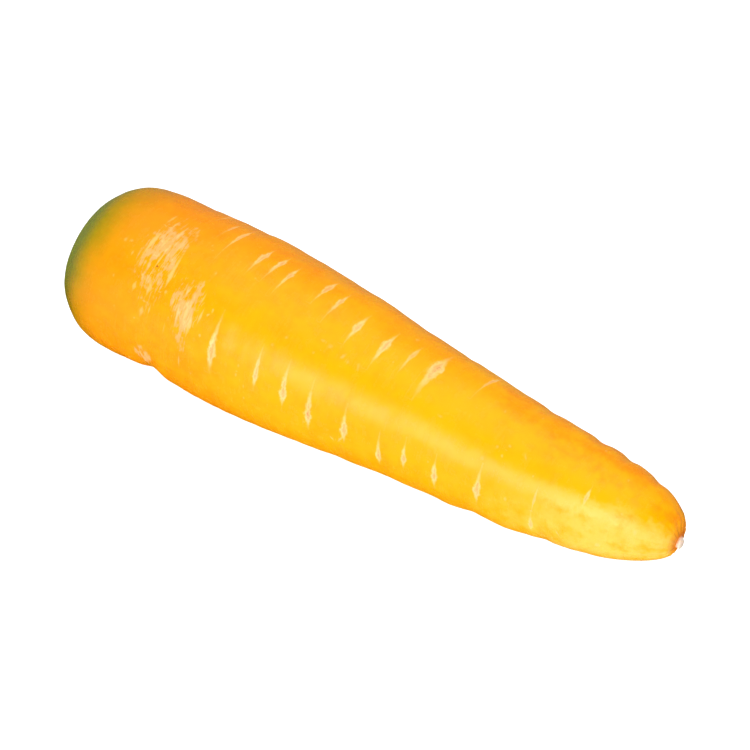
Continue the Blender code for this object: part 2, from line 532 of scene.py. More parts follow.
@dataclass(frozen=True)
class CarrotSkin:
    """Moist, yellow-orange carrot skin with a green shoulder, pale side-root scars and dry scuffs, and with
    painted light and shade.

    Zones are in millimetres below the crown, sides are angles in degrees, and a grain's unit of length is a
    millimetre. An edge or a fade is a pair of values between which a look sets in or dies away. The relief
    and the depth that light reaches under the skin are in metres.
    """

    name: str = "carrot_skin"
    yellow: tuple = colour(255, 179, 0)
    # pale is painted light: the front lamp's highlight on the lower front side and tip, and bounce light on
    # the underside, broken up by pale mottling.
    pale: tuple = colour(252, 203, 96)
    orange: tuple = colour(252, 157, 0)
    deep_orange: tuple = colour(246, 140, 4)
    olive: tuple = colour(190, 149, 6)
    green: tuple = colour(130, 138, 2)
    leaf_scar: tuple = colour(112, 92, 38)
    scar: tuple = colour(251, 219, 158)
    scar_flesh: tuple = colour(242, 160, 76)
    scar_core: tuple = colour(196, 96, 18)
    scuff: tuple = colour(241, 178, 112)
    scratch: tuple = colour(248, 204, 134)
    pit: Patch = Patch(37.3, 49.0, 0.4, 0.3, 0.6)
    pit_dark: tuple = colour(112, 78, 34)
    tip_wound: tuple = colour(224, 124, 34)
    tip_wood: tuple = colour(236, 214, 194)

    wide_grain: Grain = Grain(0.035, 2.0, 0.5)
    blotch_grain: Grain = Grain(0.16, 3.0, 0.55)
    cloud_grain: Grain = Grain(0.33)
    strand_grain: Grain = Grain(1.7)
    tip_strands: Strands = Strands(2.5, 0.07)
    shoulder_grain: Grain = Grain(1.4, 3.0, 0.55)
    shoulder_strands: Strands = Strands(3.0, 0.12)
    torn_grain: Grain = Grain(0.7, 3.0, 0.7)
    flaky_grain: Grain = Grain(0.45, 3.0, 0.65)
    ring_grain: Grain = Grain(0.9)
    fine_ring_grain: Grain = Grain(3.2)
    fibre_grain: Grain = Grain(1.5, 4.0, 0.65)
    ragged_grain: Grain = Grain(1.6)
    speckle_grain: Grain = Grain(4.5, 2.0, 0.6)
    damp_grain: Grain = Grain(0.32)
    ring_share: float = 0.07
    fibre_share: float = 0.18

    # The next two place painted light: the side facing the front lamp is painted yellower, turning with the
    # tip, and the side away from it more orange, as painted shade.
    lamp_lit_side: float = 30.0
    lamp_lit_turn: float = 38.0
    sunny_side: float = 58.0
    # The underside is painted yellower and paler over its middle: painted bounce light from the floor.
    belly_side: float = -80.0
    belly_edge: tuple = (0.6, 1.0)
    # The next two place the painted highlight of the front lamp along the lower front side, turned as it runs
    # onto the tip.
    highlight_side: float = -34.0
    highlight_turn: float = 27.0
    orange_crown: Zone = Zone(20.0, 95.0)
    deep_crown: Zone = Zone(15.0, 75.0)
    # The next two are the stretches of underside painted yellower and paler, as painted bounce light.
    bounce_yellow_zone: Zone = Zone(45.0, 90.0)
    bounce_pale_zone: Zone = Zone(60.0, 100.0)
    mottled_tip: Zone = Zone(100.0, 162.0)
    # The next two: where the painted highlight widens over the tip, and where it turns.
    highlight_tip: Zone = Zone(120.0, 169.0)
    highlight_turning: Zone = Zone(140.0, 166.0)
    strand_tip: Zone = Zone(158.0, 174.0)
    orange_share: float = 0.45
    orange_edge: tuple = (-0.1, 1.1)
    crown_orange: float = 0.45
    crown_depth: float = 0.3
    # Where the deep orange is kept off the lamp-facing side, so that it paints shade on the side away from
    # the lamp.
    painted_shade_fade: tuple = (0.2, 0.95)
    # How strongly the underside is painted yellower and paler, as painted bounce light.
    bounce_yellow: float = 0.45
    bounce_pale: float = 0.2
    # Where the painted highlight sets in round the root.
    highlight_edge: tuple = (0.4, 0.85)
    green_reach: float = 11.5
    sunny_reach: float = 7.5
    sunny_focus: float = 5.0
    green_fade: tuple = (-10.0, 3.0)
    olive_fade: tuple = (-8.0, 17.0)
    olive_share: float = 0.9
    scar_taper: float = 1.5
    scar_edge: tuple = (-0.35, 0.45)
    flesh_edge: tuple = (0.25, 0.6)
    core_edge: tuple = (0.7, 1.1)
    scuff_edge: tuple = (0.55, 0.95)
    bright_edge: tuple = (1.1, 1.4)
    bright_share: float = 0.7
    scratch_taper: float = 1.1
    scratch_edge: tuple = (-0.1, 0.7)
    scratch_share: float = 0.65
    fleck_edge: tuple = (-0.1, 0.9)
    fleck_share: float = 0.5
    pit_edge: tuple = (0.2, 1.4)
    wound_zone: Zone = Zone(176.8, 178.8)
    wound_edge: tuple = (1.7, 4.2)
    wound_share: float = 0.85
    wood_zone: Zone = Zone(178.8, 179.4)
    wood_edge: tuple = (1.25, 1.6)
    leaf_scar_zone: Zone = Zone(5.0, 8.0)
    leaf_scar_edge: tuple = (5.0, 7.0)

    roughness: float = 0.25
    scuff_roughness: float = 0.6
    subsurface: float = 0.12
    subsurface_depth: float = 0.0025
    subsurface_colours: tuple = (1.0, 0.5, 0.1)
    refraction: float = 1.5
    relief: float = 0.00012

    def ground(self, tree: SkinTree) -> Value:
        """Mixes the skin's yellow and orange.

        Light and shade are painted in: the side facing the front lamp is yellower, with a pale painted
        highlight along its lower edge and over the tip, the side away from it is more orange, and the
        underside is painted yellower and paler as bounce light. The crown is more orange and the tip is
        mottled.

        Args:
            tree: The material's tree.

        Returns:
            The colour of plain skin.
        """
        spot = tree.spot
        wide = tree.noise(spot.place, self.wide_grain)
        blotch = tree.noise(spot.place, self.blotch_grain)
        cloud = tree.noise(spot.place, self.cloud_grain)
        strands = tree.noise(spot.stranded(self.tip_strands), self.strand_grain)
        strands = strands * spot.down.rise(*self.strand_tip)
        tip = spot.down.rise(*self.mottled_tip)
        # Painted light and shade: the side facing the front lamp is painted yellower and less mottled, and
        # the side away from it more orange.
        lamp_lit = spot.facing(self.lamp_lit_side, tip * math.radians(self.lamp_lit_turn))
        # The underside, painted yellower and paler further down the root as painted bounce light from the
        # floor.
        belly = spot.facing(self.belly_side).rise(*self.belly_edge)

        swirl = 0.8 + tip * (1.5 - 1.6 * lamp_lit.rise(0.1, 0.8))
        share = self.orange_share - (0.24 + 0.28 * tip) * lamp_lit
        share = share + spot.down.fall(*self.orange_crown) * self.crown_orange
        share = share - belly * spot.down.rise(*self.bounce_yellow_zone) * self.bounce_yellow
        share = share + wide * 0.9 + (blotch + cloud) * swirl + strands * 0.9
        plain = tree.blend(share.rise(*self.orange_edge), self.yellow, self.orange)
        # Deep orange: the root's own blotches and more orange crown, with the blotches kept to the side away
        # from the lamp as painted shade.
        deep = (blotch * 1.2 + wide + cloud * 0.6 * tip).rise(0.1, 0.55) * 0.28
        deep = deep * lamp_lit.fall(*self.painted_shade_fade) + spot.down.fall(*self.deep_crown) * self.crown_depth
        plain = tree.blend(deep, plain, self.deep_orange)

        # Painted highlight of the front lamp: pale along the lower front side, turning and widening over the
        # tip, broken up by the skin's clouds, blotches and strands; on the underside the same pale paints
        # bounce light.
        far = spot.down.rise(*self.highlight_tip)
        turned = spot.down.rise(*self.highlight_turning) * -math.radians(self.highlight_turn)
        highlight_fringe = spot.facing(self.highlight_side, turned) + cloud * (0.3 + far) + blotch * 0.8 * far
        pale = (0.46 * far - 0.04 - cloud * 1.6 - blotch * 0.5 - strands * 1.1).rise(-0.2, 0.65)
        pale = pale * highlight_fringe.rise(*self.highlight_edge) * (0.08 + 0.84 * far)
        pale = pale.most(belly * spot.down.rise(*self.bounce_pale_zone) * self.bounce_pale)
        return tree.blend(pale, plain, self.pale)

    def shoulder(self, tree: SkinTree, skin: Value) -> Value:
        """Turns the skin olive and then green towards the crown, further down on the side that saw the sun.

        Args:
            tree: The material's tree.
            skin: The colour of the skin so far.

        Returns:
            The skin's colour with the shoulder.
        """
        sunny = ((tree.spot.angle - math.radians(self.sunny_side)) * 0.5).cos() ** self.sunny_focus
        cloud = tree.noise(tree.spot.stranded(self.shoulder_strands), self.shoulder_grain)
        reach = self.green_reach + self.sunny_reach * sunny - tree.ragged * 2.0 - cloud * 6.0
        past = tree.spot.down - reach
        skin = tree.blend(past.fall(*self.olive_fade) * self.olive_share, skin, self.olive)
        return tree.blend(past.fall(*self.green_fade), skin, self.green)

    def scars(self, tree: SkinTree, skin: Value) -> tuple[Value, Value]:
        """Draws the side-root scars: spindles with bright, ragged rims, softer flesh and a few dark cores.

        Args:
            tree: The material's tree.
            skin: The colour of the skin under them.

        Returns:
            The skin's colour with the scars, and how strongly each place is scarred.
        """
        along, across, near = tree.split(tree.attribute("scar_place"))
        taper = (1.0 - along.abs()).most(0.0) ** self.scar_taper
        torn = tree.ragged * 0.9 + tree.fibres + tree.noise(tree.spot.place, self.torn_grain) * 1.8
        inside = taper - across.abs() + torn * (0.25 + 0.75 * taper)
        pale = inside.rise(*self.scar_edge) * (0.45 + 0.5 * taper.rise(0.0, 0.6)) * near
        pale = pale * (0.875 + 0.5 * tree.fibres)
        soft = (tree.fibres + tree.ragged * 0.5).fall(-0.08, 0.12)
        flesh = inside.rise(*self.flesh_edge) * (0.3 + 0.45 * soft) * near
        core = (inside + tree.ragged * 2.0).rise(*self.core_edge) * tree.fibres.rise(0.0, 0.12) * 0.7 * near
        skin = tree.blend(pale, skin, self.scar)
        skin = tree.blend(flesh, skin, self.scar_flesh)
        return tree.blend(core, skin, self.scar_core), pale

    def scuffs(self, tree: SkinTree, skin: Value) -> tuple[Value, Value]:
        """Draws dry, flaky patches, scratches round the root and small pale flecks.

        Args:
            tree: The material's tree.
            skin: The colour of the skin under them.

        Returns:
            The skin's colour with the marks, and how strongly each place is marked.
        """
        haze, _, _ = tree.split(tree.attribute("scuff_place"))
        torn = haze + tree.fibres * 2.8 + tree.noise(tree.spot.place, self.flaky_grain) * 2.2
        patch = torn.rise(*self.scuff_edge) * haze.rise(0.05, 0.3)
        bright = torn.rise(*self.bright_edge) * haze.rise(0.1, 0.5)
        skin = tree.blend(patch * (0.85 + 0.7 * tree.fibres), skin, self.scuff)
        along, across, near = tree.split(tree.attribute("scratch_place"))
        taper = (1.0 - along.abs()).most(0.0) ** self.scratch_taper
        inside = taper - across.abs() + tree.ragged * 0.8 + tree.fibres * 0.6
        scratch = inside.rise(*self.scratch_edge) * near * self.scratch_share
        along, across, near = tree.split(tree.attribute("fleck_place"))
        inside = 1.0 - (along * along + across * across) ** 0.5 + tree.ragged * 1.6
        fleck = inside.rise(*self.fleck_edge) * near * self.fleck_share
        marked = scratch.most(fleck).most(bright * self.bright_share)
        return tree.blend(marked, skin, self.scratch), marked.most(patch * 0.8)

    def ends(self, tree: SkinTree, skin: Value) -> Value:
        """Draws the one dark pit, the wound and the wood of the broken root tip, and the scar of the leaves.

        Args:
            tree: The material's tree.
            skin: The colour of the skin so far.

        Returns:
            The skin's colour with all four.
        """
        spot = tree.spot
        below = (spot.down - self.pit.down) / self.pit.reach_down
        beside = (spot.angle - math.radians(self.pit.angle)) * spot.radius / self.pit.reach_round
        pit = (below * below + beside * beside).fall(*self.pit_edge) * self.pit.strength
        wound = (spot.radius + tree.fibres * 1.5).fall(*self.wound_edge) * self.wound_share
        wood = (spot.radius + tree.speckle * 0.5).fall(*self.wood_edge)
        leaf_scar = (spot.radius + tree.ragged * 2.0).fall(*self.leaf_scar_edge)
        skin = tree.blend(pit, skin, self.pit_dark)
        skin = tree.blend(wound * spot.down.rise(*self.wound_zone), skin, self.tip_wound)
        skin = tree.blend(wood * spot.down.rise(*self.wood_zone), skin, self.tip_wood)
        return tree.blend(leaf_scar * spot.down.fall(*self.leaf_scar_zone), skin, self.leaf_scar)

    def build(self) -> bpy.types.Material:
        """Builds the skin's material.

        Returns:
            The material.
        """
        tree = SkinTree(self)
        skin = self.shoulder(tree, self.ground(tree))
        skin, scuffed = self.scuffs(tree, skin)
        skin, scarred = self.scars(tree, skin)
        skin = self.ends(tree, skin)
        damp = tree.noise(tree.spot.place, self.damp_grain)
        rough = self.roughness + tree.speckle * 0.12 + tree.rings * 0.14 + damp * 0.3
        rough = rough + scuffed.most(scarred * 0.7) * (self.scuff_roughness - self.roughness)
        height = tree.fine_rings * 0.25 + tree.speckle * 0.3
        height = height + scuffed * (tree.ragged + 0.1) * 0.6 + scarred * (tree.fibres - 0.4) * 0.6
        looks = {
            "Base Color": skin,
            "Roughness": rough,
            "Normal": tree.bump(height, self.relief),
            "Subsurface Weight": self.subsurface,
            "Subsurface Scale": self.subsurface_depth,
            "Subsurface Radius": self.subsurface_colours,
            "IOR": self.refraction,
        }
        return tree.dressed(looks)


@dataclass(frozen=True)
class CutStalk:
    """Dried green-brown leaf stalk with a paler, fibrous cut end."""

    name: str = "cut_leaf_stalk"
    side: tuple = colour(118, 112, 38)
    dry_side: tuple = colour(140, 100, 48)
    cut: tuple = colour(186, 158, 88)
    vein: tuple = colour(112, 84, 40)
    fibre_grain: Grain = Grain(3.2)
    patch_grain: Grain = Grain(0.9, 2.0, 0.5)
    fibre_length: float = 0.15
    cut_edge: tuple = (0.78, 0.9)
    roughness: float = 0.72
    relief: float = 0.00015

    def build(self) -> bpy.types.Material:
        """Builds the stalk's material.

        Returns:
            The material.
        """
        tree = Surface(self.name)
        place = tree.attribute("grown_place")
        east, north, up = tree.split(place)
        fibres = tree.noise(tree.joined(east, north, up * self.fibre_length), self.fibre_grain)
        patchy = tree.noise(place, self.patch_grain)
        side = tree.blend((patchy + fibres * 0.6).rise(-0.15, 0.2), self.side, self.dry_side)
        cut_end = tree.blend((fibres - patchy * 0.2).rise(0.0, 0.15), self.cut, self.vein)
        looks = {
            "Base Color": tree.blend(up.rise(*self.cut_edge), side, cut_end),
            "Roughness": self.roughness + patchy * 0.2,
            "Normal": tree.bump(fibres, self.relief),
        }
        return tree.dressed(looks)


@dataclass(frozen=True)
class StudioPaper:
    """Matt, near-white paper with a trace of tooth, lit softly from below as on a light table."""

    name: str = "studio_paper"
    white: tuple = colour(152, 152, 151)
    shade: tuple = colour(146, 146, 145)
    tooth: Grain = Grain(6.0, 2.0, 0.5)
    roughness: float = 0.9
    gloss: float = 0.2
    glow: float = 0.88

    def build(self) -> bpy.types.Material:
        """Builds the paper's material.

        Returns:
            The material.
        """
        tree = Surface(self.name)
        place = tree.node("ShaderNodeTexCoord", None, None, "Object")
        looks = {
            "Base Color": tree.blend(tree.noise(place, self.tooth) + 0.5, self.white, self.shade),
            "Roughness": self.roughness,
            "Specular IOR Level": self.gloss,
            "Emission Color": WHITE,
            "Emission Strength": self.glow,
        }
        return tree.dressed(looks)


@dataclass(frozen=True)
class Lean:
    """How far the root's middle strays from a straight line, in millimetres, and at what angles in degrees.

    The three onsets are powers: the higher, the nearer to its end of the root the stray sets in.
    """

    length: float = 180.4
    crown_sag: float = 3.0
    sag_onset: float = 14.0
    tip_lift: float = 1.8
    lift_onset: float = 12.0
    tip_scar_drop: float = 1.6
    drop_onset: float = 80.0
    bend_angle: float = 134.0
    bow: float = 3.0
    bow_middle: float = 0.42
    bow_angle: float = -136.0

    def at(self, tree: Tree, down: Value) -> Value:
        """Gives the stray at some distance below the crown.

        Args:
            tree: The tree that needs it.
            down: The distance.

        Returns:
            The stray as a vector.
        """
        place = (down / self.length).most(0.0)
        bend = self.tip_lift * place**self.lift_onset - self.tip_scar_drop * place**self.drop_onset
        bend = bend - self.crown_sag * (1.0 - place).most(0.0) ** self.sag_onset
        off_middle = (place - self.bow_middle) / (1.0 - self.bow_middle)
        bow = self.bow * (off_middle * off_middle)
        bend_angle, bow_angle = math.radians(self.bend_angle), math.radians(self.bow_angle)
        east = bend * math.sin(bend_angle) + bow * math.sin(bow_angle)
        north = bend * -math.cos(bend_angle) + bow * -math.cos(bow_angle)
        return tree.joined(east, north, 0.0)


@dataclass
class LeafBases:
    """The cut leaf bases: cupped, curled stubs in a spiral on the crown, in millimetres and degrees."""

    count: int = 15
    turn: float = 137.5
    spread: float = 1.3
    first_reach: float = 0.4
    sunk: float = 4.2
    half_width: float = 1.9
    half_thickness: float = 0.9
    curl: float = 0.8
    stub_height: float = 3.5
    cup: float = 0.22
    cup_rim: tuple = (0.9, 1.0)
    top_share: float = 0.86
    stub_sides: int = 20
    stub_rings: int = 6
    top_rings: int = 3
    tilt: Span = Span(0.05, 0.12)
    size: Span = Span(0.62, 0.78)
    outer_size: float = 0.08
    height: Span = Span(0.8, 1.0)
    seed: int = 11
    stalk: CutStalk = field(default_factory=CutStalk)

    def stub(self, tree: GeometryTree) -> Value:
        """Shapes one stub, broad across and thin through, curled lengthways and hollowed at its cut top.

        Args:
            tree: The tree that the stub is part of.

        Returns:
            The stub, with its height from 0 to 1 stored on it.
        """
        inputs = {
            "Vertices": self.stub_sides,
            "Side Segments": self.stub_rings,
            "Fill Segments": self.top_rings,
            "Radius Top": self.top_share,
            "Radius Bottom": 1.0,
            "Depth": 1.0,
        }
        stub = tree.node("GeometryNodeMeshCone", {"fill_type": "TRIANGLE_FAN"}, inputs, "Mesh")
        wide, thick, tall = tree.split(tree.node("GeometryNodeInputPosition"))
        stub = tree.store(stub, "stub_height", tall, Kind.NUMBER)
        hollow = (1.0 - (wide * wide + thick * thick)).most(0.0) * tall.rise(*self.cup_rim) * self.cup
        curled = thick * self.half_thickness - wide * wide * self.curl
        height = (tall - hollow) * tree.number("Stub height", self.stub_height)
        return tree.moved(stub, position=tree.joined(wide * self.half_width, curled, height))

    def grown(self, lean: Lean) -> GeometryTree:
        """Builds the tree that sets the stubs on the crown, larger and more tilted towards its edge.

        Args:
            lean: How the root's middle strays, which the crown follows.

        Returns:
            The finished tree.
        """
        tree = GeometryTree("cut_leaf_bases")
        seed = tree.count("Seed", self.seed)
        number = tree.node("GeometryNodeInputIndex")
        turn = number * math.radians(self.turn)
        reach = (number + self.first_reach) ** 0.5 * tree.number("Spread", self.spread)
        spots = tree.node("GeometryNodePoints", None, {"Count": tree.count("Leaves", self.count)})
        spots = tree.moved(spots, position=tree.joined(reach * turn.cos(), reach * turn.sin(), -self.sunk))
        tilt = tree.chance(self.tilt, seed) * reach
        size = tree.chance(self.size, seed + 1.0) + reach * self.outer_size
        placing = {
            "Points": spots,
            "Instance": self.stub(tree),
            "Rotation": tree.joined(tilt, 0.0, turn - math.pi / 2),
            "Scale": tree.joined(size, size, tree.chance(self.height, seed + 2.0)),
        }
        stubs = tree.node("GeometryNodeInstanceOnPoints", None, placing)
        stubs = tree.node("GeometryNodeRealizeInstances", None, {0: stubs})
        east, north, up = tree.split(tree.node("GeometryNodeInputPosition"))
        whole = tree.joined(east, north, tree.attribute("stub_height", Kind.NUMBER))
        stubs = tree.store(stubs, "grown_place", whole)
        return tree.finished(tree.moved(stubs, offset=lean.at(tree, -up)), self.stalk.build())


@dataclass(frozen=True)
class StrewnMarks:
    """Marks that chance places: scars on the hidden sides, scratches on the scuffs, and flecks all over.

    Lengths are in millimetres and angles in degrees.
    """

    rows: tuple = (172.0, -84.0)
    row: Zone = Zone(46.0, 166.0)
    row_start: Span = Span(0.0, 6.0)
    row_step: Span = Span(5.5, 12.0)
    row_stray: float = 6.0
    scar_length: Span = Span(8.0, 14.5)
    scar_width: Span = Span(0.9, 2.2)
    scar_widest: Span = Span(-0.4, 0.4)
    scar_slant: float = 0.2
    slender_from: float = 140.0
    slender_share: float = 0.6
    scratches: int = 7
    scratch_stray: float = 0.5
    scratch_length: Span = Span(2.5, 7.0)
    scratch_width: Span = Span(0.35, 0.8)
    scratch_slant: float = 0.25
    slant_stray: float = 0.3
    scratch_strength: Span = Span(0.5, 1.0)
    scuffed_radius: float = 22.0
    flecks: int = 60
    fleck_size: Span = Span(0.5, 1.4)
    fleck_angle: Span = Span(-180.0, 180.0)
    fleck_down: Span = Span(14.0, 172.0)
    fleck_share: Span = Span(0.6, 1.0)
    fleck_strength: Span = Span(0.4, 0.9)

    def hidden_scars(self, chance: np.random.Generator) -> list[Mark]:
        """Places scars in the two rows that lie away from the listed ones, spaced as those are.

        Args:
            chance: Where the random numbers come from.

        Returns:
            The scars.
        """
        scars = []
        for middle in self.rows:
            down = self.row.start + chance.uniform(*self.row_start)
            while down < self.row.end:
                share = 1.0 if down < self.slender_from else self.slender_share
                length = chance.uniform(*self.scar_length) * share
                width = chance.uniform(*self.scar_width)
                widest = chance.uniform(*self.scar_widest)
                angle = middle + chance.normal(0.0, self.row_stray)
                scars.append(Mark(down, angle, length, width, self.scar_slant, widest))
                down += chance.uniform(*self.row_step)
        return scars

    def scuff_scratches(self, chance: np.random.Generator, scuffs: tuple) -> list[Mark]:
        """Strews fine scratches over scuffed patches, the more the stronger the patch is.

        Args:
            chance: Where the random numbers come from.
            scuffs: The patches.

        Returns:
            The scratches.
        """
        scratches = []
        for patch in scuffs:
            for _ in range(round(self.scratches * max(patch.strength, 0.0))):
                down = patch.down + chance.normal(0.0, self.scratch_stray) * patch.reach_down
                around = chance.normal(0.0, self.scratch_stray) * patch.reach_round
                angle = patch.angle + math.degrees(around / self.scuffed_radius)
                length = chance.uniform(*self.scratch_length)
                width = chance.uniform(*self.scratch_width)
                slant = chance.normal(self.scratch_slant, self.slant_stray)
                strength = chance.uniform(*self.scratch_strength)
                scratches.append(Mark(down, angle, length, width, slant, strength=strength))
        return scratches

    def strewn_flecks(self, chance: np.random.Generator) -> list[Mark]:
        """Strews small pale flecks over the whole root.

        Args:
            chance: Where the random numbers come from.

        Returns:
            The flecks.
        """
        flecks = []
        for _ in range(self.flecks):
            size = chance.uniform(*self.fleck_size)
            angle = chance.uniform(*self.fleck_angle)
            down = chance.uniform(*self.fleck_down)
            width = size * chance.uniform(*self.fleck_share)
            strength = chance.uniform(*self.fleck_strength)
            flecks.append(Mark(down, angle, size, width, strength=strength))
        return flecks


class RootTree(GeometryTree):
    """The tree that grows the root's skin, with where on the root each of its points lies."""

    def __init__(self, name: str) -> None:
        """Starts the tree under a name."""
        super().__init__(name)
        self.spot = self.located(self.attribute("grown_place"))


@dataclass
class CarrotRoot:
    """The whole root: its turned outline, folds, side-root scars, scuffs, tip scar and cut leaf bases.

    Lengths are in millimetres until the root is laid down, and outlines are pairs of distance below the
    crown and radius. An edge is a pair of values between which a shape sets in or dies away.
    """

    rings: int = 520
    sides: int = 180
    step: float = 0.4
    merge_distance: float = 0.002
    leaf_scar: tuple = ((2.3, 0.0), (2.4, 2.2), (2.7, 3.9), (3.1, 4.9), (3.5, 5.6), (3.5, 6.3))
    body: tuple = (
        (3.0, 7.6),
        (4.8, 11.5),
        (8.0, 16.2),
        (15.0, 20.7),
        (23.0, 22.1),
        (36.0, 21.9),
        (56.0, 22.4),
        (76.0, 21.1),
        (100.0, 18.3),
        (125.0, 16.0),
        (145.0, 14.2),
        (160.0, 12.3),
        (170.0, 9.7),
        (176.0, 6.8),
        (178.6, 4.3),
    )
    tip_scar: tuple = ((179.2, 2.3), (179.35, 1.6), (179.7, 1.35), (180.2, 1.2), (180.4, 0.7), (180.4, 0.0))
    folds: tuple = (
        Fold(8.0, -1.0, 16.0, 42.0, 65.0),
        Fold(12.0, 0.6, 20.0, 105.0, 55.0),
        Fold(24.0, -0.4, 44.0, -55.0, 45.0),
        Fold(37.5, -1.3, 13.0, -55.0, 60.0),
        Fold(41.0, 0.4, 24.0, 125.0, 60.0),
        Fold(65.0, -0.3, 24.0, 125.0, 60.0),
        Fold(66.0, -0.3, 7.0, 20.0, 50.0),
        Fold(89.0, 0.35, 26.0, 125.0, 60.0),
        Fold(93.0, -0.12, 7.0, -60.0, 50.0),
        Fold(114.0, -0.3, 6.0, 150.0, 60.0),
        Fold(126.0, 0.5, 14.0, -52.0, 45.0),
        Fold(138.5, -0.26, 6.5, 130.0, 55.0),
        Fold(140.0, -0.4, 56.0, 125.0, 60.0),
        Fold(141.0, 0.6, 20.0, -52.0, 48.0),
        Fold(150.5, -0.25, 6.0, -40.0, 45.0),
        Fold(153.0, -0.36, 6.5, 140.0, 60.0),
        Fold(160.5, -0.36, 6.0, 125.0, 50.0),
        Fold(169.0, -0.3, 6.0, 140.0, 60.0),
    )
    scars: tuple = (
        Mark(40.0, 112.0, 10.0, 0.8, 0.3, 0.3, 0.5),
        Mark(45.5, 98.0, 10.0, 0.9, 0.3, 0.3, 0.6),
        Mark(50.0, 90.0, 16.0, 1.2, 0.2, 0.35, 0.85),
        Mark(59.4, 85.0, 12.0, 1.5, 0.2, 0.3, 0.95),
        Mark(64.0, 86.0, 12.0, 1.3, 0.3, 0.35, 0.95),
        Mark(68.5, 81.0, 12.0, 1.3, 0.3, 0.35, 0.95),
        Mark(78.0, 90.0, 11.5, 1.5, 0.2, 0.3, 0.95),
        Mark(83.0, 83.0, 11.5, 1.3, 0.3, 0.4, 0.95),
        Mark(91.0, 77.0, 11.0, 1.8, 0.2, 0.1, 0.95),
        Mark(99.5, 73.0, 13.0, 1.8, 0.2, 0.2, 0.95),
        Mark(106.3, 76.0, 12.0, 1.2, 0.3, 0.3, 0.7),
        Mark(113.0, 76.0, 16.5, 3.3, 0.3, 0.2, 0.85),
        Mark(124.5, 98.0, 14.0, 1.0, 0.3, 0.3, 0.8),
        Mark(60.7, 22.0, 17.0, 2.4, -0.4, -0.35),
        Mark(73.8, 19.0, 12.5, 1.5, -0.3, -0.35),
        Mark(81.7, 16.0, 13.0, 2.0, -0.4, -0.4),
        Mark(89.0, 8.0, 14.0, 2.0, -0.4, -0.35),
        Mark(98.9, 6.0, 11.0, 2.0, -0.3, -0.4),
        Mark(108.4, -3.0, 10.5, 1.6, -0.3, -0.5),
        Mark(115.2, 3.0, 9.0, 1.5, -0.2, -0.3),
        Mark(123.5, -2.0, 10.0, 1.7, -0.2, -0.2),
        Mark(134.7, 5.0, 11.5, 1.9, -0.2, -0.3),
        Mark(148.6, -14.0, 7.0, 1.3, 0.0, -0.2, 0.8),
        Mark(148.7, 17.0, 8.0, 0.6, 0.0, 0.0, 0.6),
        Mark(159.6, 41.0, 5.5, 1.0, 0.0, 0.0, 0.8),
    )
    scratches: tuple = (
        Mark(32.0, 58.0, 13.5, 1.6, 0.8, 0.4),
        Mark(42.0, 53.5, 13.0, 1.7, -0.6, -0.4),
        Mark(35.2, 66.0, 8.0, 1.4, 0.6, 0.0, 0.8),
        Mark(39.6, 66.0, 9.0, 1.1, 0.2, 0.2, 0.7),
        Mark(31.5, 84.5, 5.5, 0.8, 0.4, 0.0, 0.8),
        Mark(33.7, 81.5, 4.5, 0.9, 0.3, 0.0, 0.8),
        Mark(37.0, 76.0, 6.0, 0.8, 0.3, 0.0, 0.6),
        Mark(49.0, 44.0, 5.0, 0.9, 1.4, 0.0, 0.9),
        Mark(50.8, 31.0, 9.0, 1.5, 0.5, 0.0),
        Mark(52.6, 24.0, 8.0, 1.8, 0.4, 0.1),
        Mark(51.6, 12.0, 5.5, 0.8, 0.2, 0.4, 0.9),
        Mark(55.0, 33.0, 6.0, 0.9, 0.5, 0.0, 0.7),
        Mark(38.0, 34.0, 5.5, 1.7, 0.3, 0.0, 0.8),
        Mark(40.0, 27.0, 4.5, 1.8, 0.2, 0.0, 0.75),
        Mark(37.8, 18.0, 4.2, 1.6, 0.2, 0.0, 0.8),
        Mark(33.6, 31.0, 3.6, 1.4, 0.3, 0.0, 0.7),
        Mark(143.0, 49.5, 2.2, 0.8, -1.6, 0.0, 0.7),
        Mark(95.6, -12.5, 1.8, 0.9, -1.4),
        Mark(98.0, -9.5, 3.0, 0.8, 1.8),
        Mark(155.4, -13.5, 2.4, 0.8, -1.2, 0.0, 0.8),
    )
    flecks: tuple = (
        Mark(25.2, 56.0, 1.2, 1.1),
        Mark(27.0, 57.0, 0.9, 0.7),
        Mark(29.0, 50.0, 1.6, 0.7),
        Mark(34.5, 40.0, 1.0, 0.8),
        Mark(36.0, 11.0, 0.9, 0.8),
        Mark(43.0, 37.0, 1.2, 0.9),
        Mark(41.0, 80.0, 1.2, 0.8),
        Mark(46.6, 78.0, 1.0, 0.7),
        Mark(53.0, 61.0, 1.3, 0.7),
        Mark(57.5, 40.0, 1.3, 0.8),
        Mark(56.7, 36.0, 1.2, 0.7),
        Mark(56.5, 22.0, 1.2, 0.9),
        Mark(78.0, 46.0, 0.9, 1.0),
        Mark(68.6, 8.0, 1.2, 0.7),
        Mark(71.0, 2.0, 1.4, 0.7),
        Mark(71.0, -8.0, 1.0, 0.7),
        Mark(86.4, 56.0, 1.0, 1.6, 0.0, 0.0, 0.5),
        Mark(88.6, 54.5, 1.2, 1.2, 0.0, 0.0, 0.7),
        Mark(92.6, 52.5, 2.2, 1.0, 0.9),
        Mark(94.4, 50.5, 1.2, 0.9, 0.0, 0.0, 0.8),
        Mark(97.2, 51.0, 2.2, 0.9, -0.8, 0.0, 0.7),
        Mark(120.6, 47.0, 0.8, 1.7, 0.0, 0.0, 0.8),
        Mark(136.0, 46.0, 1.0, 0.8),
        Mark(138.0, 41.0, 0.9, 0.7),
        Mark(138.5, 52.0, 0.9, 1.0),
        Mark(164.8, -12.0, 1.6, 1.5, 0.0, 0.0, 0.8),
        Mark(168.0, 40.0, 0.8, 0.9, 0.0, 0.0, 0.8),
        Mark(172.0, 23.0, 1.5, 1.0),
    )
